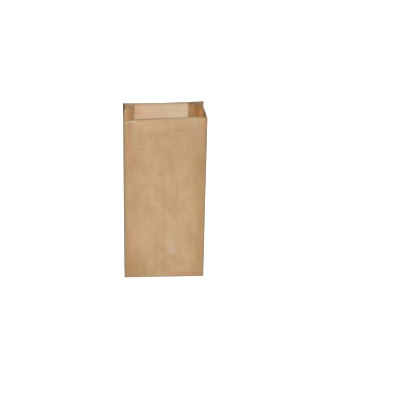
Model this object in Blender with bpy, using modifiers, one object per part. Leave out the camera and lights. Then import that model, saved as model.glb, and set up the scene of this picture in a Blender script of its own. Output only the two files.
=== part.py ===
"""Brown paper lunch bag, standing open on its folded block bottom.

One sheet of kraft paper, folded and glued: front and back panels, two side
gussets with a centre crease, a lapped seam on the back panel and a bottom of
four folded flaps. Metres, +Z up, front towards -Y. The origin is on the ground
under the middle of the base.
"""
import math

import bpy
import numpy as np

# Sizes of the sheet
FACE_WIDTH = 0.133        # front and back panels, crease to crease
GUSSET_WIDTH = 0.087      # a side gusset laid flat, and so the depth of the base
BAG_HEIGHT = 0.280
PAPER = 0.00015           # one layer

# How the bag stands open: the turn of each gusset half at three heights
FOOT_FOLD = math.radians(8)     # at the top of the foot triangle
WAIST_FOLD = math.radians(22)   # at the waist, where the gussets fold in freely
MOUTH_FOLD = math.radians(26)   # at the rim, if both halves folded in alike
WAIST_HEIGHT = 0.135

# Mouth, where the front gusset halves swing open and the back ones double up
OPENED_FROM = 0.175             # height from which they do
RIM_FOLD = math.radians(2.5)    # turn of the front gusset half at the rim
BEND_TO_BACK = 0.018            # bend in the back gusset half, measured from the back crease
LIP_BOW = 0.0045                # how far the middle of each lip curves inward
BOW_FROM = 0.080                # height where that curve begins

# Crease across the back panel, where the bottom was folded up flat against it
CREASE_DENT = 0.0012
CREASE_REACH = 0.030      # height over which the panel leans into it, above and below

# Lapped seam on the back panel, measured from its right crease
SEAM_OUTER_EDGE = 0.010
SEAM_LAP = 0.016
SEAM_STEP = 0.0004        # width over which the sheet steps in by one layer
SEAM_GRIP = 0.002         # how far the inner layer runs on inside the stepped sheet

# Folded bottom
FLAP_OVERLAP = 0.018      # long flaps over each other, across the middle
FOLD_INSET = 0.0003       # a folded edge's roundness

# Joining layers as one solid
SINK = 0.4 * PAPER        # how deep a glued layer is sunk in its neighbour
OFFSET = 0.05 * PAPER     # keeps faces of joined layers out of one plane

# Mesh resolution
PANEL_STEPS = 8
SEAM_STEPS = 2
BEND_STEPS = 2            # from the back crease to the bend
HALF_STEPS = 3            # from the bend to the centre crease
WALL_LEVELS = 22          # above the foot triangles

HALF_WIDTH = FACE_WIDTH / 2
HALF_GUSSET = GUSSET_WIDTH / 2
GUSSET_CELLS = 2 * (BEND_STEPS + HALF_STEPS)
SEAM_EDGE_X = HALF_WIDTH - SEAM_OUTER_EDGE
FLAP_REACH = HALF_GUSSET + FLAP_OVERLAP / 2   # of all four flaps, as the tube is cut square
INNER_FLAP_BOTTOM = PAPER
SIDE_FLAP_BOTTOM = 2 * PAPER

KRAFT_COLOUR = (0.515, 0.332, 0.181, 1.0)
KRAFT_ROUGHNESS = 0.85


# Section of the bag at a height

def ease(start, end, value):
    """Smooth 0 to 1 as value goes from start to end."""
    t = min(max((value - start) / (end - start), 0.0), 1.0)
    return t * t * (3 - 2 * t)


def free_fold(z):
    """Turn of a gusset half where both halves fold in alike."""
    to_waist = (WAIST_FOLD - FOOT_FOLD) * ease(HALF_GUSSET, WAIST_HEIGHT, z)
    to_mouth = (MOUTH_FOLD - WAIST_FOLD) * ease(WAIST_HEIGHT, BAG_HEIGHT, z)
    return FOOT_FOLD + to_waist + to_mouth


def half_depth(z):
    """Half the distance from the front creases to the back creases."""
    if z < HALF_GUSSET:
        return HALF_GUSSET - z * (1 - math.cos(FOOT_FOLD))
    return HALF_GUSSET * math.cos(free_fold(z))


def lip_bow(z):
    return LIP_BOW * ease(BOW_FROM, BAG_HEIGHT, z)


def crease_dent(z):
    return CREASE_DENT * max(1 - abs(z - HALF_GUSSET) / CREASE_REACH, 0.0)


def front_point(x, z):
    across = 1 - (x / HALF_WIDTH) ** 2
    return np.array((x, -half_depth(z) + lip_bow(z) * across))


def back_point(x, z):
    across = 1 - (x / HALF_WIDTH) ** 2
    return np.array((x, half_depth(z) - (lip_bow(z) + crease_dent(z)) * across))


def bend_point(centre, back):
    """Bend in the back gusset half, from its two lengths, on the inner side."""
    to_centre = HALF_GUSSET - BEND_TO_BACK
    gap = back - centre
    length = float(np.hypot(*gap))
    along = (to_centre ** 2 - BEND_TO_BACK ** 2 + length ** 2) / (2 * length)
    inward = math.sqrt(max(to_centre ** 2 - along ** 2, 0.0))
    unit = gap / length
    return centre + along * unit + inward * np.array((-unit[1], unit[0]))


def foot_point(distance, z):
    """Right gusset below the top of the foot triangle, from its front crease."""
    from_crease = min(distance, GUSSET_WIDTH - distance)
    slanted = min(from_crease, z)
    inward = slanted * math.sin(FOOT_FOLD)
    along = slanted * math.cos(FOOT_FOLD) + (from_crease - slanted)
    y = -half_depth(z) + along
    return np.array((HALF_WIDTH - inward, y if distance <= HALF_GUSSET else -y))


def gusset_point(distance, z):
    """Right gusset at a distance along the sheet from its front crease."""
    if z <= HALF_GUSSET:
        return foot_point(distance, z)
    opened = ease(OPENED_FROM, BAG_HEIGHT, z)
    turn = free_fold(z) * (1 - opened) + RIM_FOLD * opened
    front = np.array((HALF_WIDTH, -half_depth(z)))
    back = np.array((HALF_WIDTH, half_depth(z)))
    centre = front + HALF_GUSSET * np.array((-math.sin(turn), math.cos(turn)))
    if distance <= HALF_GUSSET:
        return front + (centre - front) * distance / HALF_GUSSET
    bend = bend_point(centre, back)
    to_back = GUSSET_WIDTH - distance
    if to_back >= BEND_TO_BACK:
        share = (to_back - BEND_TO_BACK) / (HALF_GUSSET - BEND_TO_BACK)
        return bend + (centre - bend) * share
    return back + (bend - back) * to_back / BEND_TO_BACK


# Columns and levels of the wall

def half_gusset_columns():
    """Columns of a gusset half, as distances from its panel crease."""
    near = np.linspace(0, BEND_TO_BACK, BEND_STEPS + 1)
    far = np.linspace(BEND_TO_BACK, HALF_GUSSET, HALF_STEPS + 1)
    return np.concatenate((near, far[1:]))


def gusset_columns():
    half = half_gusset_columns()
    return np.concatenate((half, (GUSSET_WIDTH - half)[::-1][1:]))


def seam_columns():
    """Columns where the seam has two layers, from its outer to its inner edge."""
    return np.linspace(SEAM_EDGE_X, SEAM_EDGE_X - SEAM_LAP, SEAM_STEPS + 1)


def back_columns():
    """Back panel columns from right to left, with the seam's step."""
    strip = np.array((HALF_WIDTH, SEAM_EDGE_X + SEAM_STEP))
    seam = seam_columns()
    rest = np.linspace(seam[-1], -HALF_WIDTH, PANEL_STEPS + 1)
    return np.concatenate((strip, seam, rest[1:]))


def wall_section(z):
    """Outline of the sheet's outer face, anticlockwise from the front left crease."""
    points = [front_point(x, z) for x in np.linspace(-HALF_WIDTH, HALF_WIDTH, PANEL_STEPS + 1)]
    right = [gusset_point(distance, z) for distance in gusset_columns()]
    points += right[1:-1]
    for x in back_columns():
        stepped_in = PAPER if x > SEAM_EDGE_X else 0.0
        points.append(back_point(x, z) - np.array((0, stepped_in)))
    points += [point * np.array((-1, 1)) for point in right[::-1][1:-1]]
    return points


def wall_levels():
    """Levels where the foot creases cross the columns, then even ones to the rim."""
    above = np.linspace(HALF_GUSSET, BAG_HEIGHT, WALL_LEVELS + 1)
    return np.concatenate((half_gusset_columns(), above[1:]))


# Making objects

def clear_scene():
    for obj in list(bpy.data.objects):
        bpy.data.objects.remove(obj, do_unlink=True)


def new_collection(name):
    collection = bpy.data.collections.new(name)
    bpy.context.scene.collection.children.link(collection)
    return collection


def new_object(name, vertices, faces, collection):
    mesh = bpy.data.meshes.new(name)
    mesh.from_pydata([tuple(map(float, vertex)) for vertex in vertices], [], faces)
    mesh.update()
    obj = bpy.data.objects.new(name, mesh)
    collection.objects.link(obj)
    return obj


def thicken(obj, thickness):
    """Gives an open sheet its thickness on the side away from its normals."""
    solidify = obj.modifiers.new("paper", "SOLIDIFY")
    solidify.thickness = thickness
    solidify.offset = -1
    solidify.use_even_offset = True
    solidify.use_quality_normals = True


def as_helper(obj):
    obj.hide_render = True
    obj.display_type = "WIRE"


def combine(target, other, operation):
    boolean = target.modifiers.new(other.name, "BOOLEAN")
    boolean.operation = operation
    boolean.solver = "EXACT"
    boolean.object = other


def flat_layer(name, outline, bottom, top, collection):
    """Level layer of paper with an anticlockwise outline."""
    face = tuple(range(len(outline)))
    layer = new_object(name, [(x, y, top) for x, y in outline], [face], collection)
    thicken(layer, top - bottom)
    as_helper(layer)
    return layer


# Panels and gussets

def foot_crease(along, level):
    """How a foot crease crosses a gusset cell: 1 rising, -1 falling, 0 not at all."""
    if level >= GUSSET_CELLS // 2:
        return 0
    if along == level:
        return 1
    if along == GUSSET_CELLS - 1 - level:
        return -1
    return 0


def cell_faces(corners, crease):
    """Faces of one cell, divided along the crease that crosses it."""
    low, next_low, next_high, high = corners
    if crease > 0:
        return [(low, next_low, next_high), (low, next_high, high)]
    if crease < 0:
        return [(low, next_low, high), (next_low, next_high, high)]
    return [corners]


def folded_wall(collection):
    """Panels and gussets as one sheet, closed below by the inner flap's layer."""
    levels = wall_levels()
    rings = [wall_section(z) for z in levels]
    count = len(rings[0])
    vertices = []
    for z, ring in zip(levels, rings):
        height = max(z, INNER_FLAP_BOTTOM)
        vertices += [(x, y, height) for x, y in ring]
    front = [None] * PANEL_STEPS
    back = [None] * (len(back_columns()) - 1)
    gusset = list(range(GUSSET_CELLS))
    cells = front + gusset + back + gusset
    faces = [tuple(reversed(range(count)))]
    for level in range(len(levels) - 1):
        low = level * count
        high = low + count
        for i, along in enumerate(cells):
            j = (i + 1) % count
            corners = (low + i, low + j, high + j, high + i)
            faces += cell_faces(corners, foot_crease(along, level))
    bag = new_object("paper_bag", vertices, faces, collection)
    thicken(bag, PAPER)
    return bag


def seam_layer(collection):
    """Inner layer of the lapped seam, which carries on the stepped strip."""
    columns = np.concatenate(([SEAM_EDGE_X + SEAM_STEP + SEAM_GRIP], seam_columns()))
    levels = wall_levels()
    levels[0] = INNER_FLAP_BOTTOM + SINK
    levels[-1] -= PAPER
    vertices = []
    for z in levels:
        for x in columns:
            spot = back_point(x, z)
            vertices.append((spot[0], spot[1] - PAPER + SINK, z))
    count = len(columns)
    faces = []
    for level in range(len(levels) - 1):
        for i in range(count - 1):
            low = level * count + i
            faces.append((low, low + 1, low + 1 + count, low + count))
    layer = new_object("seam_layer", vertices, faces, collection)
    thicken(layer, PAPER + SINK - OFFSET)
    as_helper(layer)
    return layer


# Bottom flaps

def outer_flap_outline():
    """Long flap folded in from the front, its ends mitred from the corners."""
    fold = FOLD_INSET - HALF_GUSSET
    free = FLAP_OVERLAP / 2
    half_fold = HALF_WIDTH - FOLD_INSET
    half_free = HALF_WIDTH - FLAP_REACH
    return [(-half_fold, fold), (half_fold, fold), (half_free, free), (-half_free, free)]


def inner_flap_gap_outline():
    """Floor before the inner flap's free edge, where only the outer flap lies."""
    half = HALF_WIDTH - FLAP_REACH
    front = 2 * FOLD_INSET - HALF_GUSSET
    free = -FLAP_OVERLAP / 2
    return [(-half, front), (half, front), (half, free), (-half, free)]


def mirrored(outline, side):
    """The outline as drawn for the right side (1), or mirrored for the left (-1)."""
    if side > 0:
        return outline
    return [(-x, y) for x, y in reversed(outline)]


def side_flap_outline():
    """Gusset end folded in over the floor, on the right."""
    inner = HALF_WIDTH - FLAP_REACH
    outer = HALF_WIDTH - PAPER / 2
    depth = HALF_GUSSET - PAPER / 2
    return [(inner, -depth), (outer, -depth), (outer, depth), (inner, depth)]


def end_recess_outline():
    """Triangle between the mitred flap ends, where only the side flap shows."""
    apex = HALF_WIDTH - HALF_GUSSET + FOLD_INSET
    past = HALF_WIDTH + FOLD_INSET
    return [(apex, 0.0), (past, -HALF_GUSSET), (past, HALF_GUSSET)]


def add_end(bag, side, name, collection):
    outline = mirrored(side_flap_outline(), side)
    bottom = SIDE_FLAP_BOTTOM - SINK
    top = SIDE_FLAP_BOTTOM + PAPER
    combine(bag, flat_layer(f"{name}_flap", outline, bottom, top, collection), "UNION")
    outline = mirrored(end_recess_outline(), side)
    top = SIDE_FLAP_BOTTOM - OFFSET
    combine(bag, flat_layer(f"{name}_recess", outline, -PAPER, top, collection), "DIFFERENCE")


def build_bag():
    bag_parts = new_collection("brown_paper_lunch_bag")
    helpers = new_collection("helpers")
    bag = folded_wall(bag_parts)
    combine(bag, seam_layer(helpers), "UNION")
    top = SIDE_FLAP_BOTTOM + PAPER
    gap = flat_layer("inner_flap_gap", inner_flap_gap_outline(), 0.0, top, helpers)
    combine(bag, gap, "DIFFERENCE")
    add_end(bag, 1, "right", helpers)
    add_end(bag, -1, "left", helpers)
    top = SIDE_FLAP_BOTTOM - SINK
    outer_flap = flat_layer("outer_flap", outer_flap_outline(), 0.0, top, helpers)
    combine(bag, outer_flap, "UNION")
    return bag


def kraft_paper():
    material = bpy.data.materials.new("kraft_paper")
    material.use_nodes = True
    shader = material.node_tree.nodes["Principled BSDF"]
    shader.inputs["Base Color"].default_value = KRAFT_COLOUR
    shader.inputs["Roughness"].default_value = KRAFT_ROUGHNESS
    shader.inputs["Metallic"].default_value = 0.0
    return material


clear_scene()
paper_bag = build_bag()
paper_bag.data.materials.append(kraft_paper())
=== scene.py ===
"""Brown paper lunch bag, standing open on a pale floor.

The bag is one folded sheet. A geometry node tree lays the sheet out flat, as
distance along the paper against height, folds it by one rule and adds the four
flaps of the bottom. Metres, +Z up, front towards -Y.
"""
import math

import bpy
from mathutils import Matrix, Vector


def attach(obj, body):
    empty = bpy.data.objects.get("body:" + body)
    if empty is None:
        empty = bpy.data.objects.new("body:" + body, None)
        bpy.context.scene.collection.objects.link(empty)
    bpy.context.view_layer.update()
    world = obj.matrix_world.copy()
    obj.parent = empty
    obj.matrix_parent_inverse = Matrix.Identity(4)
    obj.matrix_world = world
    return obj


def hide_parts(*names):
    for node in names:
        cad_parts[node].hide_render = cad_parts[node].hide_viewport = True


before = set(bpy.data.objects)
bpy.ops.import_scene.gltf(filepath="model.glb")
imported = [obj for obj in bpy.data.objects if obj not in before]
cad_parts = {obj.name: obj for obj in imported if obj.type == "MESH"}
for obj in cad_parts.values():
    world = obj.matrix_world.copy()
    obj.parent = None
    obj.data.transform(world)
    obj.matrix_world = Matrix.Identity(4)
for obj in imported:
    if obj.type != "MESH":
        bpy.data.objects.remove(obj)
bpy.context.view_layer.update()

# Sizes of the sheet, as in the CAD
FACE_WIDTH = 0.133
GUSSET_WIDTH = 0.087
BAG_HEIGHT = 0.280
PAPER = 0.00015
SEAM_OUTER_EDGE = 0.010   # free outer edge of the seam, from the back right crease
SEAM_LAP = 0.016
FLAP_REACH = 0.0525       # of all four bottom flaps
FOLD_RADIUS = 0.0005      # where the wall turns under

# How finely the sheet is divided
BEND_COLUMNS = 13         # beside each vertical crease, and rows up from the base
FOLD_COLUMNS = 13         # from there to the middle of the gusset, and rows there
PANEL_COLUMNS = 54
SEAM_COLUMNS = 16
BODY_ROWS = 88            # from the foot triangles to the rim
HEM_ROWS = 4
CROWDING = 0.85           # how strongly columns gather at the creases

# Places along the sheet, from the seam's outer edge
LEFT_CREASE = FACE_WIDTH - SEAM_OUTER_EDGE
LEFT_BEND = LEFT_CREASE + 0.0225
LEFT_TURN = LEFT_CREASE + 0.0312
LEFT_CENTRE = LEFT_CREASE + GUSSET_WIDTH / 2
LEFT_FRONT = LEFT_CREASE + GUSSET_WIDTH
FRONT_MIDDLE = LEFT_FRONT + FACE_WIDTH / 2
RIGHT_FRONT = LEFT_FRONT + FACE_WIDTH
RIGHT_CREASE = LEFT_CREASE + GUSSET_WIDTH * 2 + FACE_WIDTH
RIGHT_CENTRE = RIGHT_CREASE - GUSSET_WIDTH / 2
RIGHT_BEND = RIGHT_CREASE - 0.0225
RIGHT_TURN = RIGHT_CREASE - 0.0312

# Share of light that goes on through each face of the paper, and its tint
THROUGH = 0.5
TINT = (0.950, 0.920, 0.840, 1.0)
DARK_TINT = (0.880, 0.800, 0.660, 1.0)

# Small marks on the front: colour, across from the middle, up, half sizes, strength
FRONT_MARKS = [
    ("bright", -0.0400, 0.2330, 0.0034, 0.0038, 0.45),
    ("bright", -0.0205, 0.1315, 0.0028, 0.0040, 0.42),
    ("bright", -0.0270, 0.1570, 0.0026, 0.0032, 0.36),
    ("bright", -0.0480, 0.2735, 0.0024, 0.0020, 0.30),
    ("bright", -0.0408, 0.2720, 0.0042, 0.0026, 0.45),
    ("bright", 0.0250, 0.2725, 0.0048, 0.0020, 0.42),
    ("smudge_and_shadow", -0.0060, 0.2500, 0.0090, 0.0028, 0.22),
    ("smudge_and_shadow", 0.0200, 0.2575, 0.0240, 0.0032, 0.17),
    ("smudge_and_shadow", 0.0100, 0.2745, 0.0200, 0.0036, 0.20),
    ("smudge_and_shadow", 0.0150, 0.2690, 0.0300, 0.0028, 0.14),
    ("smudge_and_shadow", 0.0240, 0.2620, 0.0340, 0.0220, 0.12),
    # Painted shadow above and to the right of the dent
    ("smudge_and_shadow", 0.0400, 0.0840, 0.0100, 0.0180, 0.15),
    ("smudge_and_shadow", 0.0110, 0.2050, 0.0080, 0.0360, 0.10),
    ("smudge_and_shadow", -0.0300, 0.1700, 0.0060, 0.0480, 0.10),
    ("smudge_and_shadow", 0.0060, 0.0130, 0.0120, 0.0026, 0.22),
    ("dark", -0.0500, 0.0180, 0.0300, 0.0420, 0.42),
]


# Arithmetic in node trees

class Field:
    """A value in a node tree, so that a rule is written as plain arithmetic."""

    def __init__(self, tree, socket):
        self.tree = tree
        self.socket = socket

    def __add__(self, other):
        return math_node(self.tree, "ADD", self, other)

    def __radd__(self, other):
        return math_node(self.tree, "ADD", other, self)

    def __sub__(self, other):
        return math_node(self.tree, "SUBTRACT", self, other)

    def __rsub__(self, other):
        return math_node(self.tree, "SUBTRACT", other, self)

    def __mul__(self, other):
        return math_node(self.tree, "MULTIPLY", self, other)

    def __rmul__(self, other):
        return math_node(self.tree, "MULTIPLY", other, self)

    def __truediv__(self, other):
        return math_node(self.tree, "DIVIDE", self, other)

    def __rtruediv__(self, other):
        return math_node(self.tree, "DIVIDE", other, self)

    def __pow__(self, other):
        return math_node(self.tree, "POWER", self, other)

    def __neg__(self):
        return math_node(self.tree, "MULTIPLY", self, -1.0)


def connect(tree, value, socket):
    """Links a field or a socket to an input, or sets it to a plain value."""
    if isinstance(value, Field):
        tree.links.new(value.socket, socket)
    elif isinstance(value, bpy.types.NodeSocket):
        tree.links.new(value, socket)
    else:
        socket.default_value = value


def math_node(tree, operation, *values):
    node = tree.nodes.new("ShaderNodeMath")
    node.operation = operation
    for socket, value in zip(node.inputs, values):
        connect(tree, value, socket)
    return Field(tree, node.outputs["Value"])


def sine(a):
    return math_node(a.tree, "SINE", a)


def cosine(a):
    return math_node(a.tree, "COSINE", a)


def size_of(a):
    return math_node(a.tree, "ABSOLUTE", a)


def tree_of(*values):
    return next(value.tree for value in values if isinstance(value, Field))


def least(a, b):
    return math_node(tree_of(a, b), "MINIMUM", a, b)


def most(a, b):
    return math_node(tree_of(a, b), "MAXIMUM", a, b)


def above(a, b):
    """1 where a is over b, or else 0."""
    return math_node(tree_of(a, b), "GREATER_THAN", a, b)


def length_of(x, y):
    return math_node(x.tree, "SQRT", x * x + y * y)


def between(a, b, share):
    return a + (b - a) * share


def path(distance, stops):
    """Value that goes straight from stop to stop, each a distance and its value."""
    value = stops[0][1]
    for (start, here), (end, there) in zip(stops, stops[1:]):
        share = math_node(distance.tree, "DIVIDE", distance - start, end - start)
        share.socket.node.use_clamp = True
        value = value + (there - here) * share
    return value


def ease(start, end, value):
    """Smooth 0 to 1 as value goes from start to end."""
    tree = value.tree
    node = tree.nodes.new("ShaderNodeMapRange")
    node.interpolation_type = "SMOOTHSTEP"
    connect(tree, value, node.inputs["Value"])
    connect(tree, start, node.inputs["From Min"])
    connect(tree, end, node.inputs["From Max"])
    return Field(tree, node.outputs["Result"])


def fade(start, end, value):
    """Smooth 1 to 0 as value goes from start to end."""
    return 1.0 - ease(start, end, value)


def vector(tree, x, y, z=0.0):
    node = tree.nodes.new("ShaderNodeCombineXYZ")
    for socket, value in zip(node.inputs, (x, y, z)):
        connect(tree, value, socket)
    return Field(tree, node.outputs["Vector"])


def parts_of(tree, value):
    node = tree.nodes.new("ShaderNodeSeparateXYZ")
    connect(tree, value, node.inputs["Vector"])
    return [Field(tree, socket) for socket in node.outputs]


def noise(tree, x, y, seed, detail=2.0, roughness=0.5):
    """Smooth noise from 0 to 1 over a plane."""
    node = tree.nodes.new("ShaderNodeTexNoise")
    node.noise_dimensions = "3D"
    connect(tree, vector(tree, x, y, seed), node.inputs["Vector"])
    node.inputs["Scale"].default_value = 1.0
    node.inputs["Detail"].default_value = detail
    node.inputs["Roughness"].default_value = roughness
    return Field(tree, node.outputs["Fac"])


def new_group(name, kind, inputs, outputs):
    """An empty node group, its input values by name and its output node."""
    tree = bpy.data.node_groups.new(name, kind)
    for label, socket_type, value in inputs:
        socket = tree.interface.new_socket(label, in_out="INPUT", socket_type=socket_type)
        if value is not None:
            socket.default_value = value
    for label, socket_type in outputs:
        tree.interface.new_socket(label, in_out="OUTPUT", socket_type=socket_type)
    source = tree.nodes.new("NodeGroupInput")
    target = tree.nodes.new("NodeGroupOutput")
    values = {label: Field(tree, source.outputs[label]) for label, _, _ in inputs}
    return tree, values, target


def use_group(tree, group, **values):
    """Places a group; a value's name is its input's, with _ for each space."""
    kind = "GeometryNodeGroup" if tree.bl_idname == "GeometryNodeTree" else "ShaderNodeGroup"
    node = tree.nodes.new(kind)
    node.node_tree = group
    for label, value in values.items():
        connect(tree, value, node.inputs[label.replace("_", " ")])
    return node


FLOAT = "NodeSocketFloat"
WHOLE = "NodeSocketInt"
SHAPE = "NodeSocketGeometry"
MATERIAL = "NodeSocketMaterial"
VECTOR = "NodeSocketVector"


# The flat sheet

def crowd(share, amount):
    """Shares of a width, gathered towards both of its ends."""
    return share - amount * sine(share * math.tau) / math.tau


def flat_panel_group():
    """Rectangle of the flat sheet, along the paper in X and up it in Y."""
    tree, size, target = new_group(
        "flat_panel",
        "GeometryNodeTree",
        [
            ("Start", FLOAT, 0.0),
            ("Width", FLOAT, 0.1),
            ("Bottom", FLOAT, 0.0),
            ("Height", FLOAT, 0.1),
            ("Columns", WHOLE, 10),
            ("Rows", WHOLE, 10),
            ("Column Crowding", FLOAT, 0.0),
            ("Row Crowding", FLOAT, 0.0),
        ],
        [("Panel", SHAPE)],
    )
    grid = tree.nodes.new("GeometryNodeMeshGrid")
    grid.inputs["Size X"].default_value = 1.0
    grid.inputs["Size Y"].default_value = 1.0
    connect(tree, size["Columns"] + 1, grid.inputs["Vertices X"])
    connect(tree, size["Rows"] + 1, grid.inputs["Vertices Y"])
    place = tree.nodes.new("GeometryNodeInputPosition")
    x, y, _ = parts_of(tree, place.outputs["Position"])
    along = size["Start"] + size["Width"] * crowd(x + 0.5, size["Column Crowding"])
    up = size["Bottom"] + size["Height"] * crowd(y + 0.5, size["Row Crowding"])
    move = tree.nodes.new("GeometryNodeSetPosition")
    connect(tree, grid.outputs["Mesh"], move.inputs["Geometry"])
    connect(tree, vector(tree, along, up), move.inputs["Position"])
    connect(tree, move.outputs["Geometry"], target.inputs["Panel"])
    return tree


def store(tree, shape, name, kind, domain, value):
    node = tree.nodes.new("GeometryNodeStoreNamedAttribute")
    node.data_type = kind
    node.domain = domain
    connect(tree, shape, node.inputs["Geometry"])
    node.inputs["Name"].default_value = name
    connect(tree, value, node.inputs["Value"])
    return node.outputs["Geometry"]


# The folded wall

WALL_INPUTS = [
    ("Face Width", FACE_WIDTH),
    ("Gusset Width", GUSSET_WIDTH),
    ("Height", BAG_HEIGHT),
    ("Paper", PAPER),
    ("Fold Radius", FOLD_RADIUS),
    ("Seam Edge", SEAM_OUTER_EDGE),
    ("Seam Lap", SEAM_LAP),
    ("Seam Lift", 0.00012),
    ("Foot Fold", math.radians(8)),
    ("Waist Fold", math.radians(22)),
    ("Mouth Fold", math.radians(26.5)),
    ("Waist Height", 0.135),
    ("Opened From", 0.170),
    ("Rim Fold", math.radians(3.0)),
    ("Bend To Back", 0.0225),
    ("Turn To Back", 0.0312),
    ("Left Bend In", 0.0200),
    ("Left Bend Forward", 0.0107),
    ("Left Turn In", 0.0057),
    ("Left Turn Forward", 0.0138),
    ("Right Bend In", 0.0163),
    ("Right Bend Forward", 0.0168),
    ("Right Turn In", 0.0069),
    ("Right Turn Forward", 0.0180),
    ("Front Bow", 0.0066),
    ("Back Bow", 0.0026),
    ("Bow From", 0.080),
    ("Front Twist", 0.0059),
    ("Back Twist", 0.0045),
    ("Lean", 0.0009),
    ("Right Flare", 0.0009),
    ("Back Rise", 0.0015),
    ("Crease Dent", 0.0012),
    ("Crease Reach", 0.030),
    ("Base Tuck", 0.0007),
    ("Base Tuck Height", 0.0096),
    ("Wave", 0.0010),
    ("Ripple", 0.00022),
    ("Crumple", 0.00030),
]


def wall_marks(size):
    """Distances along the sheet at which its creases lie, from the seam's outer edge."""
    back_left = size["Face Width"] - size["Seam Edge"]
    front_left = back_left + size["Gusset Width"]
    front_right = front_left + size["Face Width"]
    back_right = front_right + size["Gusset Width"]
    return back_left, front_left, front_right, back_right


def flat_wall(tree, size, panel_group):
    """The whole wall laid out flat, from the hem to the rim."""
    half = size["Gusset Width"] / 2
    bend = size["Bend To Back"]
    inner = half - bend
    back_left, front_left, front_right, back_right = wall_marks(size)
    columns = [
        (0.0, back_left, PANEL_COLUMNS),
        (front_left, size["Face Width"], PANEL_COLUMNS),
        (back_right, size["Seam Edge"] + size["Seam Lap"], SEAM_COLUMNS),
    ]
    for crease in (back_left, front_right):
        columns += [
            (crease, bend, BEND_COLUMNS),
            (crease + bend, inner, FOLD_COLUMNS),
            (crease + half, inner, FOLD_COLUMNS),
            (crease + half + inner, bend, BEND_COLUMNS),
        ]
    hem = size["Fold Radius"] * (math.pi / 2)
    body = size["Height"] - size["Fold Radius"] - half
    # The foot's rows match the gusset's columns, so its slanted creases run through corners
    rows = [
        (-hem, hem, HEM_ROWS, 0.0),
        (0.0, bend, BEND_COLUMNS, CROWDING),
        (bend, inner, FOLD_COLUMNS, CROWDING),
        (half, body, BODY_ROWS, 0.0),
    ]
    join = tree.nodes.new("GeometryNodeJoinGeometry")
    for start, width, column_count in columns:
        for bottom, height, row_count, row_crowding in rows:
            panel = use_group(
                tree,
                panel_group,
                Start=start,
                Width=width,
                Bottom=bottom,
                Height=height,
                Columns=column_count,
                Rows=row_count,
                Column_Crowding=CROWDING,
                Row_Crowding=row_crowding,
            )
            connect(tree, panel.outputs["Panel"], join.inputs["Geometry"])
    merge = tree.nodes.new("GeometryNodeMergeByDistance")
    merge.inputs["Distance"].default_value = 0.00002
    connect(tree, join.outputs["Geometry"], merge.inputs["Geometry"])
    return merge.outputs["Geometry"]


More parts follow.
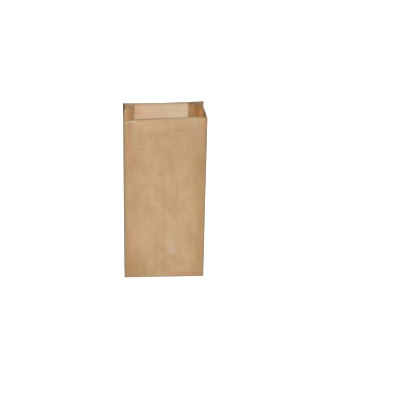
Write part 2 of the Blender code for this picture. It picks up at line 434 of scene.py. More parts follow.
class Section:
    """Rule for the bag's outline at a height, in terms of fields."""

    def __init__(self, tree, size, along, up):
        self.tree = tree
        self.size = size
        self.along = along
        self.height = most(up, 0.0)
        self.half_width = size["Face Width"] / 2
        self.half_gusset = size["Gusset Width"] / 2
        self.back_left, self.front_left, self.front_right, self.back_right = wall_marks(size)
        height = self.height
        to_waist = ease(self.half_gusset, size["Waist Height"], height)
        to_mouth = ease(size["Waist Height"], size["Height"], height)
        waist = between(size["Foot Fold"], size["Waist Fold"], to_waist)
        self.free_fold = waist + (size["Mouth Fold"] - size["Waist Fold"]) * to_mouth
        foot_depth = self.half_gusset - height * (1.0 - cosine(size["Foot Fold"]))
        body_depth = self.half_gusset * cosine(self.free_fold)
        self.over_foot = above(height, self.half_gusset)
        self.half_depth = between(foot_depth, body_depth, self.over_foot)
        self.bow = ease(size["Bow From"], size["Height"], height)
        self.twist = ease(self.half_gusset, size["Height"], height)
        self.opened = ease(size["Opened From"], size["Height"], height)

    def front_y(self, x):
        """Front panel: nearly flat, and at the mouth drawn in between its two side edges."""
        share = x / self.half_width
        rounded = 1.0 - size_of(share) ** 5.0
        stepped = ease(-0.90, -0.80, share) * (1.0 - ease(0.78, 1.0, share) * 0.85)
        across = between(rounded, stepped, ease(0.225, 0.275, self.height))
        inward = self.size["Front Bow"] * self.bow * across
        turned = self.size["Front Twist"] * share + self.size["Lean"]
        return -self.half_depth + turned * self.twist + inward

    def back_y(self, x):
        share = x / self.half_width
        across = 1.0 - share * share
        from_crease = size_of(self.height - self.half_gusset) / self.size["Crease Reach"]
        dent = self.size["Crease Dent"] * most(1.0 - from_crease, 0.0)
        inward = (self.size["Back Bow"] * self.bow + dent) * across
        turned = self.size["Back Twist"] * share + self.size["Lean"]
        return self.half_depth + turned * self.twist - inward

    def gusset(self, side, from_front):
        """Left (-1) or right (1) gusset at a distance from its front crease."""
        size = self.size
        half = self.half_gusset
        corner_x = self.half_width * side
        front_y = self.front_y(corner_x)
        back_y = self.back_y(corner_x)
        turn = between(self.free_fold, size["Rim Fold"], self.opened)
        centre_x = corner_x - half * sine(turn) * side
        centre_y = front_y + half * cosine(turn)
        length = length_of(centre_x - corner_x, centre_y - back_y)
        stops_x = [(0.0, corner_x), (half, centre_x)]
        stops_y = [(0.0, front_y), (half, centre_y)]
        name = "Left" if side < 0 else "Right"
        # Opened near the mouth, the back half is doubled: it bends inwards and turns back
        for part in ("Turn", "Bend"):
            to_back = size[f"{part} To Back"]
            share = to_back / length
            straight_x = (centre_x - corner_x) * share
            straight_y = (centre_y - back_y) * share
            bend_x = between(straight_x, -side * size[f"{name} {part} In"], self.opened)
            bend_y = between(straight_y, -size[f"{name} {part} Forward"], self.opened)
            stops_x.append((size["Gusset Width"] - to_back, corner_x + bend_x))
            stops_y.append((size["Gusset Width"] - to_back, back_y + bend_y))
        stops_x.append((size["Gusset Width"], corner_x))
        stops_y.append((size["Gusset Width"], back_y))
        x = path(from_front, stops_x)
        y = path(from_front, stops_y)
        foot_x, foot_y = self.foot(side, from_front)
        return between(foot_x, x, self.over_foot), between(foot_y, y, self.over_foot)

    def foot(self, side, from_front):
        """Gusset below the top of the foot triangle, with its two 45 degree creases."""
        from_crease = least(from_front, self.size["Gusset Width"] - from_front)
        slanted = least(from_crease, self.height)
        inward = slanted * sine(self.size["Foot Fold"])
        along = slanted * cosine(self.size["Foot Fold"]) + (from_crease - slanted)
        behind = above(from_front, self.half_gusset) * 2.0 - 1.0
        return (self.half_width - inward) * side, behind * (self.half_depth - along)

    def seam_inset(self):
        """The strip beside the back right crease runs under the seam's outer edge."""
        past = self.along - self.back_right
        under = ease(0.0, self.size["Seam Edge"] * 0.5, past)
        return under * (self.size["Paper"] + self.size["Seam Lift"])

    def point(self):
        along = self.along
        on_back = above(self.back_left, along)
        on_left = above(self.front_left, along) - on_back
        on_front = above(self.front_right, along) - above(self.front_left, along)
        on_strip = above(along, self.back_right)
        on_right = 1.0 - on_back - on_left - on_front - on_strip
        back_x = self.half_width - self.size["Seam Edge"] - along
        strip_x = self.half_width - (along - self.back_right)
        front_x = along - self.front_left - self.half_width
        left_x, left_y = self.gusset(-1.0, self.front_left - along)
        right_x, right_y = self.gusset(1.0, along - self.front_right)
        strip_y = self.back_y(strip_x) - self.seam_inset()
        x = back_x * on_back + left_x * on_left + front_x * on_front
        x = x + right_x * on_right + strip_x * on_strip
        y = self.back_y(back_x) * on_back + left_y * on_left + self.front_y(front_x) * on_front
        y = y + right_y * on_right + strip_y * on_strip
        return x, y


def unevenness(tree, size, along, up):
    """How far the paper stands out from its folded form, and where it may."""
    waves = noise(tree, along * 16.0, up * 8.0, 3.7, 1.0) - 0.5
    ripples = noise(tree, along * 55.0, up * 34.0, 8.1, 2.0) - 0.5
    ridge = size_of(noise(tree, along * 21.0, up * 17.0, 5.3, 1.0) - 0.5)
    crumple = fade(0.0, 0.05, ridge)
    out = waves * size["Wave"] * 2.0 + ripples * size["Ripple"] * 2.0
    return out - crumple * size["Crumple"]


def paper_wall(tree, size, panel_group):
    flat = flat_wall(tree, size, panel_group)
    place = tree.nodes.new("GeometryNodeInputPosition")
    along, up, _ = parts_of(tree, place.outputs["Position"])
    half = size["Gusset Width"] / 2
    back_left, front_left, front_right, back_right = wall_marks(size)
    marked = store(tree, flat, "UVMap", "FLOAT2", "CORNER", vector(tree, along, up))
    section = Section(tree, size, along, up)
    x, y = section.point()
    # Waves die out at the creases and at the foot
    from_mark = size_of(along - back_left)
    for mark in (front_left, front_right, back_right, back_left + half, front_right + half):
        from_mark = least(from_mark, size_of(along - mark))
    loose = ease(0.0, 0.014, from_mark) * ease(0.002, 0.030, up)
    out = unevenness(tree, size, along, up) * loose
    on_left = above(front_left, along) * above(along, back_left)
    on_right = above(back_right, along) * above(along, front_right)
    on_front = above(along, front_left) * above(front_right, along)
    on_back = 1.0 - on_left - on_right - on_front
    x = x + out * (on_right - on_left)
    y = y + out * (on_back - on_front)
    # The front panel tucks in just over the base, on its right half
    tuck_from = front_left + 0.070
    tuck_to = front_right - 0.010
    tucked = ease(tuck_from, tuck_from + 0.008, along) * fade(tuck_to, front_right, along)
    low = fade(size["Base Tuck Height"] * 0.5, size["Base Tuck Height"] * 1.1, up)
    y = y + size["Base Tuck"] * low * tucked * on_front
    # The mouth opens a little wider to the right
    share = x / size["Face Width"] + 0.5
    x = x + size["Right Flare"] * section.twist * share
    # The hem turns under by a quarter circle
    radius = size["Fold Radius"]
    below = most(-up / radius, 0.0)
    inset = radius * (1.0 - cosine(below))
    x = x * (1.0 - inset / (size["Face Width"] / 2))
    y = y * (1.0 - inset / half)
    rise = size["Back Rise"] * section.twist * ease(-half, half, y)
    z = radius * (1.0 - sine(below)) + most(up, 0.0) + rise
    fold = tree.nodes.new("GeometryNodeSetPosition")
    connect(tree, marked, fold.inputs["Geometry"])
    connect(tree, vector(tree, x, y, z), fold.inputs["Position"])
    # A fold in paper has a small radius
    round_off = tree.nodes.new("GeometryNodeBlurAttribute")
    round_off.data_type = "FLOAT_VECTOR"
    connect(tree, place.outputs["Position"], round_off.inputs["Value"])
    round_off.inputs["Iterations"].default_value = 2
    soft_x, soft_y, _ = parts_of(tree, round_off.outputs["Value"])
    _, _, own_z = parts_of(tree, place.outputs["Position"])
    soften = tree.nodes.new("GeometryNodeSetPosition")
    connect(tree, fold.outputs["Geometry"], soften.inputs["Geometry"])
    connect(tree, vector(tree, soft_x, soft_y, own_z), soften.inputs["Position"])
    return soften.outputs["Geometry"]


# The bottom flaps

def bottom_flap_group(panel_group):
    """Flap folded in from one side of the base, its outer face down."""
    tree, size, target = new_group(
        "bottom_flap",
        "GeometryNodeTree",
        [
            ("Fold Half", FLOAT, 0.06),
            ("Free Half", FLOAT, 0.02),
            ("Fold At", FLOAT, 0.04),
            ("Reach", FLOAT, 0.05),
            ("Level", FLOAT, 0.0),
            ("Lift", FLOAT, 0.0),
            ("Turn", FLOAT, 0.0),
            ("Sheet Start", FLOAT, 0.0),
        ],
        [("Flap", SHAPE)],
    )
    panel = use_group(
        tree,
        panel_group,
        Start=-1.0,
        Width=2.0,
        Bottom=0.0,
        Height=1.0,
        Columns=36,
        Rows=24,
        Column_Crowding=0.0,
        Row_Crowding=0.0,
    )
    place = tree.nodes.new("GeometryNodeInputPosition")
    share, inward, _ = parts_of(tree, place.outputs["Position"])
    x = share * between(size["Fold Half"], size["Free Half"], inward)
    y = inward * size["Reach"] - size["Fold At"]
    uneven = noise(tree, x * 60.0, y * 60.0, size["Sheet Start"] * 20.0, 1.0)
    z = size["Level"] + size["Lift"] * uneven * ease(0.75, 1.0, inward)
    sheet_place = vector(tree, size["Sheet Start"] + x, -inward * size["Reach"])
    marked = store(tree, panel.outputs["Panel"], "UVMap", "FLOAT2", "CORNER", sheet_place)
    fold = tree.nodes.new("GeometryNodeSetPosition")
    connect(tree, marked, fold.inputs["Geometry"])
    turned_x = x * cosine(size["Turn"]) - y * sine(size["Turn"])
    turned_y = x * sine(size["Turn"]) + y * cosine(size["Turn"])
    connect(tree, vector(tree, turned_x, turned_y, z), fold.inputs["Position"])
    flip = tree.nodes.new("GeometryNodeFlipFaces")
    connect(tree, fold.outputs["Geometry"], flip.inputs["Mesh"])
    connect(tree, flip.outputs["Mesh"], target.inputs["Flap"])
    return tree


def bag_tree():
    """Geometry nodes that make the whole bag from its sizes."""
    inputs = [(label, FLOAT, value) for label, value in WALL_INPUTS]
    inputs += [
        ("Flap Reach", FLOAT, FLAP_REACH),
        ("Flap Lift", FLOAT, 0.00025),
        ("Paper Material", MATERIAL, None),
    ]
    tree, size, target = new_group("folded_paper_bag", "GeometryNodeTree", inputs, [("Bag", SHAPE)])
    panel_group = flat_panel_group()
    flap_group = bottom_flap_group(panel_group)
    join = tree.nodes.new("GeometryNodeJoinGeometry")
    connect(tree, paper_wall(tree, size, panel_group), join.inputs["Geometry"])
    half_width = size["Face Width"] / 2
    half_gusset = size["Gusset Width"] / 2
    edge = size["Fold Radius"] * 0.8
    free_half = half_width - size["Flap Reach"]
    paper = size["Paper"]
    long_fold = (half_width - edge, free_half, half_gusset - edge, size["Flap Reach"] - edge)
    side_fold = (half_gusset - edge * 2.0,) * 2 + (half_width - edge, size["Flap Reach"] - edge)
    flaps = [
        (long_fold, 0.0, 0.0, 0.0, 0.28),
        (long_fold, paper * 1.1, size["Flap Lift"], math.pi, 0.06),
        (side_fold, paper * 2.2, size["Flap Lift"], math.pi / 2, 0.39),
        (side_fold, paper * 2.2, size["Flap Lift"], -math.pi / 2, 0.17),
    ]
    for (fold_half, free, fold_at, reach), level, lift, turn, start in flaps:
        flap = use_group(
            tree,
            flap_group,
            Fold_Half=fold_half,
            Free_Half=free,
            Fold_At=fold_at,
            Reach=reach,
            Level=level,
            Lift=lift,
            Turn=turn,
            Sheet_Start=start,
        )
        connect(tree, flap.outputs["Flap"], join.inputs["Geometry"])
    smooth = tree.nodes.new("GeometryNodeSetShadeSmooth")
    connect(tree, join.outputs["Geometry"], smooth.inputs["Geometry"])
    realize = tree.nodes.new("GeometryNodeRealizeInstances")
    connect(tree, smooth.outputs["Geometry"], realize.inputs["Geometry"])
    finish = tree.nodes.new("GeometryNodeSetMaterial")
    connect(tree, realize.outputs["Geometry"], finish.inputs["Geometry"])
    connect(tree, size["Paper Material"], finish.inputs["Material"])
    connect(tree, finish.outputs["Geometry"], target.inputs["Bag"])
    return tree


def set_input(modifier, label, value):
    for item in modifier.node_group.interface.items_tree:
        if item.item_type == "SOCKET" and item.in_out == "INPUT" and item.name == label:
            modifier[item.identifier] = value


def make_bag(outside, inside):
    """The bag as one plain mesh of paper with its thickness."""
    start = bpy.data.meshes.new("paper_sheet")
    # The node tree leaves its first slot empty, so the sheet needs three
    for material in (None, outside, inside):
        start.materials.append(material)
    bag = bpy.data.objects.new("folded_paper_bag", start)
    bpy.context.scene.collection.objects.link(bag)
    folding = bag.modifiers.new("folding", "NODES")
    folding.node_group = bag_tree()
    set_input(folding, "Paper Material", outside)
    for label, value in WALL_INPUTS:
        set_input(folding, label, value)
    thickness = bag.modifiers.new("paper", "SOLIDIFY")
    thickness.thickness = PAPER
    thickness.offset = -1
    thickness.material_offset = 1
    thickness.material_offset_rim = 1
    graph = bpy.context.evaluated_depsgraph_get()
    mesh = bpy.data.meshes.new_from_object(bag.evaluated_get(graph))
    bag.modifiers.clear()
    bag.data = mesh
    mesh.name = "folded_paper_bag"
    slots = [face.material_index for face in mesh.polygons]
    mesh.materials.clear()
    mesh.materials.append(outside)
    mesh.materials.append(inside)
    for face, slot in zip(mesh.polygons, slots):
        face.material_index = slot - 1
    return bag


# Materials

def mix_colour(tree, a, b, share):
    node = tree.nodes.new("ShaderNodeMix")
    node.data_type = "RGBA"
    connect(tree, share, node.inputs["Factor"])
    connect(tree, a, node.inputs[6])
    connect(tree, b, node.inputs[7])
    return Field(tree, node.outputs[2])


def crease_distance(x, y):
    """Distance on the sheet from the nearest fold; the flaps lie below 0."""
    nearest = size_of(x - LEFT_CREASE)
    for mark in (LEFT_CENTRE, LEFT_FRONT, RIGHT_FRONT, RIGHT_CENTRE, RIGHT_CREASE):
        nearest = least(nearest, size_of(x - mark))
    left = least(x - LEFT_CREASE, LEFT_FRONT - x)
    right = least(x - RIGHT_FRONT, RIGHT_CREASE - x)
    from_crease = most(left, right)
    slanted = size_of(from_crease - y) * math.sqrt(0.5)
    in_foot = above(from_crease, 0.0) * above(GUSSET_WIDTH / 2, y)
    nearest = least(nearest, between(1.0, slanted, in_foot))
    packed = size_of(y - GUSSET_WIDTH / 2)
    nearest = least(nearest, between(1.0, packed, above(LEFT_CREASE, x)))
    nearest = between(1.0, nearest, above(y, -FOLD_RADIUS))
    return least(nearest, size_of(y))


def kraft_pattern_group():
    """Masks for the fibres, clouds and wear of unbleached kraft paper, and for painted shade along
    its folds.
    """
    tree, value, target = new_group(
        "kraft_pattern",
        "ShaderNodeTree",
        [
            ("Sheet", VECTOR, None),
            ("Seed", FLOAT, 0.0),
            ("Streakiness", FLOAT, 1.0),
        ],
        [
            ("Dark", FLOAT),
            ("Rosy", FLOAT),
            ("Worn", FLOAT),
            ("Shaded", FLOAT),
            ("Gloss", FLOAT),
            ("Relief", FLOAT),
        ],
    )
    x, y, _ = parts_of(tree, value["Sheet"])
    seed = value["Seed"]
    clouds = noise(tree, x * 60.0, y * 42.0, seed + 1.3, 3.0, 0.55)
    formation = noise(tree, x * 330.0, y * 240.0, seed + 2.9, 3.0, 0.6)
    streaks = noise(tree, x * 130.0, y * 11.0, seed + 4.1, 3.0, 0.6)
    fibres = noise(tree, x * 2600.0, y * 420.0, seed + 6.7, 2.0, 0.6)
    cross_fibres = noise(tree, (x + y * 0.5) * 1500.0, (y - x * 0.5) * 500.0, 7.7, 2.0, 0.6)
    rosy = noise(tree, x * 38.0, y * 22.0, seed + 9.2, 2.0, 0.5)
    specks = noise(tree, x * 1300.0, y * 450.0, seed + 11.5, 0.0)
    wear_break = noise(tree, x * 180.0, y * 120.0, seed + 12.9, 2.0, 0.6)
    streak_part = (streaks - 0.5) * value["Streakiness"] * 0.30
    cloud_part = (clouds - 0.5) * 0.42 + (formation - 0.5) * 0.26
    fibre_part = (fibres - 0.5) * 0.13 + (cross_fibres - 0.5) * 0.10
    dark = ease(-0.13, 0.13, -(streak_part + cloud_part + fibre_part))
    dark = most(dark, ease(0.76, 0.82, specks) * 0.9)
    from_fold = crease_distance(x, y)
    worn = fade(0.0001, 0.0007, from_fold)
    # Painted shade along the folds
    shaded = fade(0.0002, 0.0014, from_fold)
    connect(tree, dark, target.inputs["Dark"])
    connect(tree, ease(0.42, 0.70, rosy), target.inputs["Rosy"])
    connect(tree, worn * ease(0.35, 0.65, wear_break), target.inputs["Worn"])
    connect(tree, shaded * (0.75 + wear_break * 0.5), target.inputs["Shaded"])
    gloss = (fibres - 0.5) * 0.16 + (clouds - 0.5) * 0.12
    connect(tree, gloss, target.inputs["Gloss"])
    relief = fibres * 0.35 + cross_fibres * 0.25 + formation * 0.6 + streaks * 0.3 + clouds
    connect(tree, relief, target.inputs["Relief"])
    return tree


class Paper:
    """A paper material under way: its tree, sheet coordinates and colours."""

    def __init__(self, name, pattern, colours, seed, streakiness):
        self.material = bpy.data.materials.new(name)
        self.material.use_nodes = True
        self.tree = self.material.node_tree
        self.tree.nodes.clear()
        sheet = self.tree.nodes.new("ShaderNodeUVMap")
        sheet.uv_map = "UVMap"
        self.x, self.y, _ = parts_of(self.tree, sheet.outputs["UV"])
        self.colours = colours
        self.look = use_group(
            self.tree,
            pattern,
            Sheet=sheet.outputs["UV"],
            Seed=seed,
            Streakiness=streakiness,
        )
        dark = self.mask("Dark")
        self.colour = mix_colour(self.tree, colours["paper"], colours["dark"], dark)
        self.blend("rosy", self.mask("Rosy") * 0.6)
        self.through = mix_colour(self.tree, TINT, DARK_TINT, dark)

    def mask(self, label):
        return Field(self.tree, self.look.outputs[label])

    def blend(self, name, share):
        self.colour = mix_colour(self.tree, self.colour, self.colours[name], share)

    def stain(self, name, share):
        """Blends a colour in right through the sheet."""
        self.blend(name, share)
        self.through = mix_colour(self.tree, self.through, self.colours[name], share)

    def finish(self, roughness):
        tree = self.tree
        bump = tree.nodes.new("ShaderNodeBump")
        bump.inputs["Strength"].default_value = 0.35
        bump.inputs["Distance"].default_value = 0.0001
        connect(tree, self.mask("Relief"), bump.inputs["Height"])
        surface = tree.nodes.new("ShaderNodeBsdfPrincipled")
        surface.inputs["Specular IOR Level"].default_value = 0.3
        connect(tree, self.colour, surface.inputs["Base Color"])
        connect(tree, roughness + self.mask("Gloss"), surface.inputs["Roughness"])
        connect(tree, bump.outputs["Normal"], surface.inputs["Normal"])
        passing = tree.nodes.new("ShaderNodeBsdfTranslucent")
        connect(tree, self.through, passing.inputs["Color"])
        connect(tree, bump.outputs["Normal"], passing.inputs["Normal"])
        both = tree.nodes.new("ShaderNodeMixShader")
        both.inputs["Fac"].default_value = THROUGH
        connect(tree, surface.outputs["BSDF"], both.inputs[1])
        connect(tree, passing.outputs["BSDF"], both.inputs[2])
        output = tree.nodes.new("ShaderNodeOutputMaterial")
        connect(tree, both.outputs["Shader"], output.inputs["Surface"])
        return self.material


class Front:
    """Places on the outside of the front panel, as fields of a paper material."""

    def __init__(self, paper):
        self.x = paper.x - FRONT_MIDDLE
        self.y = paper.y
        self.left = self.x + FACE_WIDTH / 2
        self.right = FACE_WIDTH / 2 - self.x
        on_wall = above(self.y, -FOLD_RADIUS * 1.6)
        self.here = above(FACE_WIDTH / 2, size_of(self.x)) * on_wall
        self.break_up = noise(paper.tree, self.x * 120.0, self.y * 30.0, 21.5, 2.0, 0.6)


def tint_front_edges(paper, front):
    """Tones along the side edges of the front and towards its rim, partly painted shade."""
    y, left, right = front.y, front.left, front.right
    # Warmer strips inside the edges, towards the rim and the base
    ends = ease(0.190, 0.225, y) + fade(0.075, 0.100, y) * 0.8
    warm = ease(0.003, 0.006, left) * fade(0.0125, 0.0150, left) * (ends + 0.1)
    corner = ease(0.256, 0.268, y) * 1.1 + 0.08
    warm = warm + ease(0.003, 0.005, right) * fade(0.010, 0.013, right) * corner
    paper.blend("ruddy", least(warm, 1.2) * front.here * (0.40 + front.break_up * 0.4))
    # Painted shade: greyer on the left edge, and darker to both sides below and all along the rim
    greyer = fade(0.001, 0.008, left) * (1.0 - ends * 0.4)
    paper.stain("grey", greyer * front.here * 0.40)
    upper = ease(0.208, 0.226, y) * ease(0.002, 0.007, least(left, right))
    sides = fade(0.004, 0.030, right) * 0.50 + fade(0.004, 0.030, left) * 0.25
    side_and_rim_shade = sides * (1.0 - upper * 0.9)
    side_and_rim_shade = side_and_rim_shade + ease(0.150, 0.280, y) * 0.28 + ease(0.264, 0.280, y) * 0.22
    paper.stain("dark", side_and_rim_shade * front.here)
    # Cooler stripes down from the rim
    cool = fade(0.0010, 0.0032, size_of(left - 0.0180))
    cool = cool + fade(0.0030, 0.0060, size_of(right - 0.0175))
    paper.blend("cool", cool * ease(0.205, 0.235, y) * front.here * 0.45)


def mark_front(paper, front):
    """Flecks and smudges on the front, and a dent painted as a pale sheen with a painted shadow
    beside it.
    """
    x, y = front.x, front.y
    ragged = (noise(paper.tree, x * 600.0, y * 450.0, 33.1, 2.0, 0.6) - 0.5) * 1.3
    for name, mark_x, mark_y, half_x, half_y, strength in FRONT_MARKS:
        from_mark = length_of((x - mark_x) / half_x, (y - mark_y) / half_y) + ragged
        paper.stain(name, fade(0.35, 1.1, from_mark) * front.here * strength)
    # The painted sheen of the dent lies low on the right and narrows downwards, with a painted
    # shadow slanting beside it
    level = (y - 0.036) / 0.039
    from_line = size_of(x - between(0.0115, 0.0140, level)) / between(0.0040, 0.0170, level)
    dent = fade(0.45, 1.15, from_line) * ease(0.0, 0.3, level) * fade(0.75, 1.05, level)
    sheen_core = fade(0.2, 1.1, length_of((x - 0.0140) / 0.0100, (y - 0.0500) / 0.0120))
    paper.blend("pale", (dent * 0.40 + sheen_core * 0.50) * front.here * (0.7 + front.break_up * 0.6))
    shadow_x, shadow_y = x - 0.0252, y - 0.0481
    from_shadow = length_of((shadow_x - shadow_y) / 0.0055, (shadow_x + shadow_y) / 0.0140)
    paper.stain("smudge_and_shadow", fade(0.1, 1.0, from_shadow) * front.here * 0.22)


def crease_over_base(paper, front):
    """Painted highlights and shade of fine level creases over the base, on the right half of the
    front, and a ruddier band low down that is also painted shade.
    """
    over_base = ease(0.000, 0.006, front.x) * front.here
    for name, crease_y, half_y, strength in (
        ("bright", 0.0092, 0.0012, 0.25),
        ("shade", 0.0062, 0.0013, 0.25),
        ("bright", 0.0038, 0.0012, 0.15),
    ):
        crease = fade(0.2, 1.0, size_of(front.y - crease_y) / half_y)
        paper.stain(name, crease * over_base * strength)
    paper.stain("ruddy", fade(0.007, 0.009, front.y) * over_base * 0.20)


def darken_pockets(paper):
    """Painted shade between the doubled halves of a gusset, where little light comes in."""
    x = paper.x
    on_left = above(x, LEFT_CREASE) * above(LEFT_CENTRE, x)
    past_centre = above(x, RIGHT_CENTRE)
    pocket_shade = (on_left + past_centre * above(RIGHT_CREASE, x)) * ease(0.225, 0.268, paper.y)
    deepest = fade(0.001, 0.007, size_of(x - LEFT_CREASE))
    paper.stain("pocket_shade", pocket_shade * (0.05 + past_centre * 0.35 + deepest * 0.9))


def edge_seam(paper):
    """Painted highlight on the free edge of the seam, and its painted shadow on the strip below."""
    from_seam = size_of(paper.x - RIGHT_CREASE - SEAM_OUTER_EDGE)
    paper.stain("shade", fade(0.0, 0.0014, from_seam) * 0.45)
    # The worn colour here is a painted highlight on the cut edge
    paper.blend("worn", fade(0.0, 0.0008, size_of(paper.x)) * above(paper.y, 0.0) * 0.6)


def shade_folds(paper, front):
    """Painted shade along the folds, which are worn in places, and painted grey shade along the
    outlines of the front.
    """
    outline_shade = most(fade(0.0006, 0.0036, front.left), fade(0.0006, 0.0036, front.right))
    outline_shade = most(outline_shade, fade(0.0, 0.0026, front.y)) * front.here
    paper.stain("shade", paper.mask("Shaded") * 0.30 * (1.0 - outline_shade))
    paper.stain("edge", outline_shade * 0.42)
    paper.blend("worn", paper.mask("Worn") * 0.45 * (1.0 - outline_shade))


def line_front_rim(paper, front):
    """Painted shade along the rim of the front, with a painted highlight under it beside the left
    edge.
    """
    left = front.left
    beside = ease(0.002, 0.005, left) * fade(0.018, 0.021, left) * front.here
    below = BAG_HEIGHT - front.y - ease(0.0067, 0.0133, left) * 0.0012
    line = ease(0.0012, 0.0020, below) * fade(0.0030, 0.0042, below)
    paper.stain("bright", line * beside * ease(0.004, 0.007, left) * 0.9)
    paper.stain("shade", fade(0.0010, 0.0020, below) * beside * 0.70)
    # Painted shade along the rest of the rim
    rim_shade = ease(0.018, 0.021, left) * (0.45 - ease(0.040, 0.090, left) * 0.15)
    cut_edge = ease(BAG_HEIGHT - 0.0034, BAG_HEIGHT - 0.0018, front.y) * front.here
    paper.stain("shade", cut_edge * rim_shade * ease(0.010, 0.016, front.right))


def outside_material(pattern):
    """Outside of the bag, with the marks that show on its front, and painted shade, shadows and
    highlights.
    """
    colours = {
        "paper": (0.860, 0.625, 0.360, 1.0),
        "dark": (0.680, 0.470, 0.248, 1.0),
        "rosy": (0.860, 0.585, 0.360, 1.0),
        "worn": (0.950, 0.820, 0.640, 1.0),
        "shade": (0.300, 0.260, 0.210, 1.0),
        "edge": (0.330, 0.330, 0.320, 1.0),
        "ruddy": (0.920, 0.545, 0.340, 1.0),
        "pale": (0.880, 0.770, 0.620, 1.0),
        "cool": (0.740, 0.580, 0.420, 1.0),
        "smudge_and_shadow": (0.520, 0.420, 0.260, 1.0),
        "grey": (0.520, 0.480, 0.340, 1.0),
        "bright": (1.000, 0.880, 0.660, 1.0),
        "pocket_shade": (0.300, 0.200, 0.110, 1.0),
    }
    paper = Paper("kraft_outside", pattern, colours, 0.0, 1.0)
    front = Front(paper)
    tint_front_edges(paper, front)
    mark_front(paper, front)
    crease_over_base(paper, front)
    darken_pockets(paper)
    edge_seam(paper)
    shade_folds(paper, front)
    line_front_rim(paper, front)
    return paper.finish(0.72)


def tint_back(paper, on_back, on_strip, near_mouth):
    """Inside of the back: rosier to the left and yellower to the right, with painted light on the
    right and painted shade towards the left corner, and faint lines across.
    """
    x, y = paper.x, paper.y
    # Painted light on the right of the back
    paper.blend("bright", fade(0.030, 0.060, x) * 0.5)
    paper.stain("amber", on_strip * 0.5)
    paper.stain("rosy", ease(0.045, 0.110, x) * on_back * 0.65)
    # Painted shade towards the left corner, near the mouth
    paper.stain("brown", ease(0.092, 0.107, x) * on_back * near_mouth * 0.10)
    lines = noise(paper.tree, x * 18.0, y * 520.0, 41.7, 1.0, 0.5)
    paper.blend("rosy", ease(0.52, 0.60, lines) * on_back * near_mouth * 0.8)
    paper.blend("bright", fade(0.36, 0.46, lines) * on_back * near_mouth * 0.7)
    cockle = noise(paper.tree, x * 90.0, y * 640.0, 47.3, 1.0, 0.5)
    paper.stain("brown", ease(0.50, 0.66, cockle) * on_strip * near_mouth * 0.45)


def paint_gusset_shade(paper, near_mouth):
    """Painted shade, deeper and more orange, on the doubled gusset halves, and painted brown shade
    beside them; gives the doubled share.
    """
    x = paper.x
    right_fold = 0.35 + ease(RIGHT_CENTRE, RIGHT_TURN, x) * 0.50
    right_fold = right_fold * above(x, RIGHT_CENTRE) * above(RIGHT_BEND, x)
    left_fold = 0.12 + ease(LEFT_BEND + 0.001, LEFT_BEND + 0.006, x) * 0.36
    left_fold = left_fold - ease(LEFT_TURN, LEFT_CENTRE, x) * 0.25
    left_fold = left_fold * above(x, LEFT_BEND) * above(LEFT_CENTRE, x)
    doubled = (right_fold + left_fold) * ease(0.205, 0.250, paper.y)
    paper.stain("deep_orange_shade", doubled)
    beside_turn = fade(RIGHT_CENTRE, RIGHT_TURN, x) * above(x, RIGHT_CENTRE)
    right_front = ease(RIGHT_CENTRE - 0.040, RIGHT_CENTRE - 0.010, x) * above(RIGHT_CENTRE, x)
    left_front = fade(LEFT_CENTRE + 0.010, LEFT_CENTRE + 0.040, x) * above(x, LEFT_CENTRE)
    paper.stain("brown", (right_front * 0.95 + left_front * 0.4 + beside_turn * 0.3) * near_mouth)
    return doubled


def inside_material(pattern):
    """Inside of the bag, paler, which is partly painted light, and deeper in tone where the gusset
    is doubled, which is painted shade.
    """
    colours = {
        "paper": (0.900, 0.780, 0.600, 1.0),
        "dark": (0.780, 0.630, 0.450, 1.0),
        "rosy": (0.900, 0.660, 0.500, 1.0),
        "bright": (1.000, 0.900, 0.720, 1.0),
        "amber": (1.000, 0.780, 0.480, 1.0),
        "shade": (0.330, 0.300, 0.270, 1.0),
        "deep_orange_shade": (1.000, 0.590, 0.210, 1.0),
        "brown": (0.380, 0.210, 0.090, 1.0),
    }
    paper = Paper("kraft_inside", pattern, colours, 30.0, 0.6)
    on_back = above(LEFT_CREASE, paper.x)
    on_strip = above(paper.x, RIGHT_CREASE)
    near_mouth = ease(0.150, 0.250, paper.y)
    tint_back(paper, on_back, on_strip, near_mouth)
    doubled = paint_gusset_shade(paper, near_mouth)
    # Painted shade along the folds
    paper.stain("shade", paper.mask("Shaded") * 0.35)
    # Painted shade in a band under the rim, heavier on the back, the seam strip and the doubled
    # gusset
    rim = ease(BAG_HEIGHT - 0.0052, BAG_HEIGHT - 0.0028, paper.y) * 0.30
    rim = rim + ease(BAG_HEIGHT - 0.0100, BAG_HEIGHT - 0.0040, paper.y) * 0.08
    paper.stain("shade", rim * least(0.3 + on_back + on_strip + doubled, 1.0))
    return paper.finish(0.80)


# Stage, light and camera

def white_to_camera(tree, plain, white):
    """Shows white to the camera and in reflections, and plain to all other light."""
    light_path = tree.nodes.new("ShaderNodeLightPath")
    seen = Field(tree, light_path.outputs["Is Camera Ray"])
    for label in ("Is Glossy Ray", "Is Transmission Ray"):
        seen = most(seen, Field(tree, light_path.outputs[label]))
    both = tree.nodes.new("ShaderNodeMixShader")
    connect(tree, seen, both.inputs["Fac"])
    connect(tree, plain, both.inputs[1])
    connect(tree, white, both.inputs[2])
    return both.outputs["Shader"]


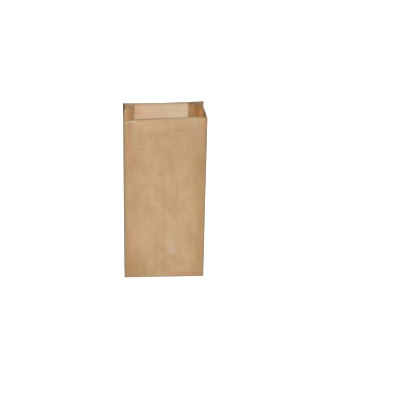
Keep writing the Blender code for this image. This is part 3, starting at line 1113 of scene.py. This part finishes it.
def make_floor():
    half = 3.0
    level = -0.0003
    mesh = bpy.data.meshes.new("floor")
    sides = [(-half, -half), (half, -half), (half, half), (-half, half)]
    mesh.from_pydata([(x, y, level) for x, y in sides], [], [(0, 1, 2, 3)])
    floor = bpy.data.objects.new("floor", mesh)
    bpy.context.scene.collection.objects.link(floor)
    material = bpy.data.materials.new("pale_floor")
    material.use_nodes = True
    tree = material.node_tree
    tree.nodes.clear()
    surface = tree.nodes.new("ShaderNodeBsdfDiffuse")
    surface.inputs["Color"].default_value = (0.80, 0.80, 0.80, 1.0)
    glow = tree.nodes.new("ShaderNodeEmission")
    glow.inputs["Color"].default_value = (1.0, 1.0, 1.0, 1.0)
    glow.inputs["Strength"].default_value = 0.9
    lit = tree.nodes.new("ShaderNodeAddShader")
    connect(tree, surface.outputs["BSDF"], lit.inputs[0])
    connect(tree, glow.outputs["Emission"], lit.inputs[1])
    shown = white_to_camera(tree, surface.outputs["BSDF"], lit.outputs["Shader"])
    # Seen from below the floor is open, and it lets light on to the base that rests on it
    open_below = tree.nodes.new("ShaderNodeBsdfTransparent")
    facing = tree.nodes.new("ShaderNodeNewGeometry")
    light_path = tree.nodes.new("ShaderNodeLightPath")
    contact = 0.0015
    from_base = above(contact, Field(tree, light_path.outputs["Ray Length"]))
    see_through = most(Field(tree, facing.outputs["Backfacing"]), from_base)
    both = tree.nodes.new("ShaderNodeMixShader")
    connect(tree, see_through, both.inputs["Fac"])
    connect(tree, shown, both.inputs[1])
    connect(tree, open_below.outputs["BSDF"], both.inputs[2])
    output = tree.nodes.new("ShaderNodeOutputMaterial")
    connect(tree, both.outputs["Shader"], output.inputs["Surface"])
    mesh.materials.append(material)


def make_world():
    world = bpy.data.worlds.new("studio")
    world.use_nodes = True
    bpy.context.scene.world = world
    tree = world.node_tree
    tree.nodes.clear()
    ambient = tree.nodes.new("ShaderNodeBackground")
    ambient.inputs["Color"].default_value = (0.97, 0.98, 1.0, 1.0)
    ambient.inputs["Strength"].default_value = 0.30
    white = tree.nodes.new("ShaderNodeBackground")
    white.inputs["Color"].default_value = (1.0, 1.0, 1.0, 1.0)
    shown = white_to_camera(tree, ambient.outputs["Background"], white.outputs["Background"])
    output = tree.nodes.new("ShaderNodeOutputWorld")
    connect(tree, shown, output.inputs["Surface"])


def aim(obj, target):
    away = obj.location - Vector(target)
    obj.rotation_euler = away.to_track_quat("Z", "Y").to_euler()


def make_lamp(name, place, target, width, height, energy, colour=(1.0, 1.0, 1.0)):
    light = bpy.data.lights.new(name, "AREA")
    light.shape = "RECTANGLE"
    light.size = width
    light.size_y = height
    light.energy = energy
    light.color = colour
    lamp = bpy.data.objects.new(name, light)
    lamp.location = place
    bpy.context.scene.collection.objects.link(lamp)
    aim(lamp, target)


def make_lamps():
    make_lamp("front_lamp", (0.1, -1.2, 0.14), (0.0, 0.0, 0.14), 1.4, 0.26, 5.75)
    make_lamp("back_lamp", (0.0, 1.3, 0.55), (0.0, 0.0, 0.2), 1.0, 0.6, 7.9, (0.93, 1.0, 1.1))


def make_camera():
    """Camera as solved from the bag's corners in the photograph."""
    back = Vector((-0.07974, -0.90126, 0.42588))
    right = Vector((0.99675, -0.07708, 0.02350))
    up = back.cross(right)
    camera = bpy.data.cameras.new("camera")
    camera.sensor_width = 36.0
    camera.lens = 90.25
    view = bpy.data.objects.new("camera", camera)
    turn = Matrix((right, up, back)).transposed().to_4x4()
    view.matrix_world = Matrix.Translation((-0.07280, -1.51442, 0.83734)) @ turn
    bpy.context.scene.collection.objects.link(view)
    bpy.context.scene.camera = view


pattern = kraft_pattern_group()
outside = outside_material(pattern)
inside = inside_material(pattern)
bag = make_bag(outside, inside)
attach(bag, "root")
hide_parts("paper_bag")

make_floor()
make_world()
make_lamps()
make_camera()
bpy.context.scene.view_settings.view_transform = "Standard"

bpy.context.view_layer.update()
